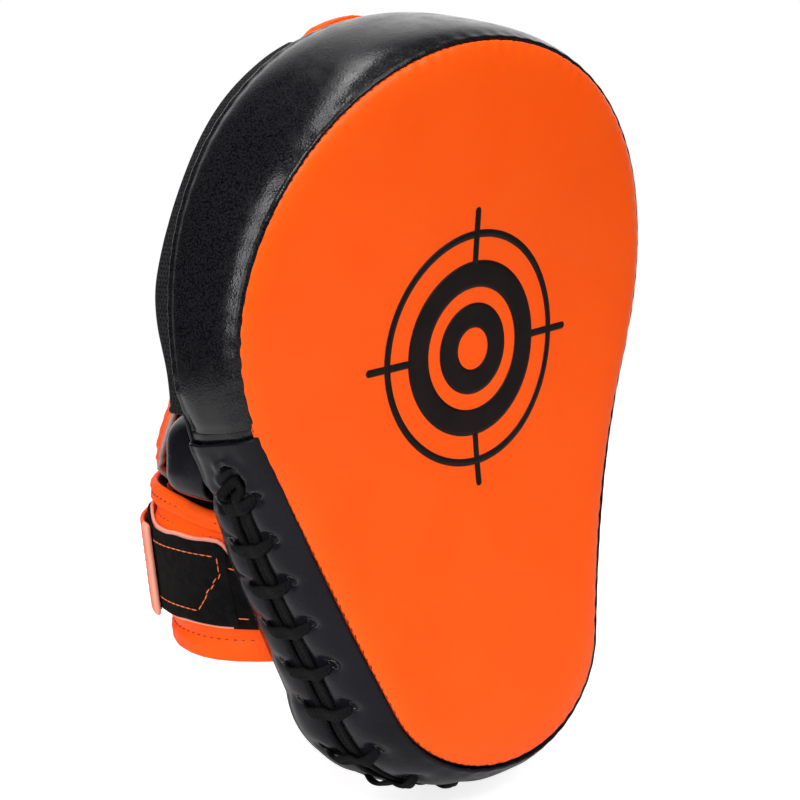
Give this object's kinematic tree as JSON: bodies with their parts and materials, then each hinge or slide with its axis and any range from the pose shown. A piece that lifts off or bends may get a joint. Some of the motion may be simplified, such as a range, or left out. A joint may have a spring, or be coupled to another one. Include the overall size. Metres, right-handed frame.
{
  "type": "focus mitt",
  "caption": "Curved striking pad with a laced gusset, a mesh finger hood, a padded hand cover and a wrist cuff that closes with a hook and loop strap.",
  "frame": {"origin": "middle of the wearer's palm, between the palm cushion and the hand cover", "axes": "+Z towards the fingertips, -Y the way the striking face looks, +X to the right when the striking face is seen from the front"},
  "size_m": [0.1964, 0.1474, 0.2759],
  "materials": {
    "orange_leather": "satin synthetic leather",
    "black_leather": "grained satin synthetic leather",
    "impact_foam": "closed-cell foam",
    "soft_foam": "open-cell foam",
    "black_mesh": "spacer mesh",
    "black_lining": "woven lining",
    "black_lace": "flat woven cord",
    "hook_and_loop": "hook and loop tape"
  },
  "bodies": {
    "pad": {"face_panel": "orange_leather", "hand_cover": "orange_leather", "cuff_left_outer": "orange_leather", "cuff_left_rim": "orange_leather", "strap_left": "orange_leather", "upper_gusset": "black_leather", "lower_gusset_front": "black_leather", "lower_gusset_rear": "black_leather", "gusset_joint_right": "black_leather", "gusset_joint_left": "black_leather", "back_panel": "black_leather", "palm_cushion_cover": "black_leather", "impact_foam": "impact_foam", "rear_foam": "impact_foam", "core_foam": "soft_foam", "upper_gusset_padding": "soft_foam", "palm_cushion_foam": "soft_foam", "hand_cover_foam": "soft_foam", "cuff_left_foam": "soft_foam", "hood_mesh_right": "black_mesh", "hood_mesh_left": "black_mesh", "lace_tongue": "black_lining", "hand_cover_lining": "black_lining", "cuff_left_lining": "black_lining", "lace": "black_lace", "loop_tape": "hook_and_loop", "loop_tape_end": "hook_and_loop"},
    "cuff_right": {"cuff_right_outer": "orange_leather", "cuff_right_foam": "soft_foam", "cuff_right_lining": "black_lining", "cuff_right_rim": "orange_leather", "strap_right": "orange_leather"},
    "strap_tail": {"strap_tail": "orange_leather", "hook_tape": "hook_and_loop"}
  },
  "joints": [
    {"name": "cuff_right_swing", "type": "hinge", "parent": "pad", "child": "cuff_right", "pos_m": [0.066, -0.026, -0.039], "axis": [0, 0, -1], "range_deg": [0, 40]},
    {"name": "strap_peel", "type": "hinge", "parent": "cuff_right", "child": "strap_tail", "pos_m": [0.042, 0.0448, -0.041], "axis": [0, 0, -1], "range_deg": [0, 140]}
  ]
}
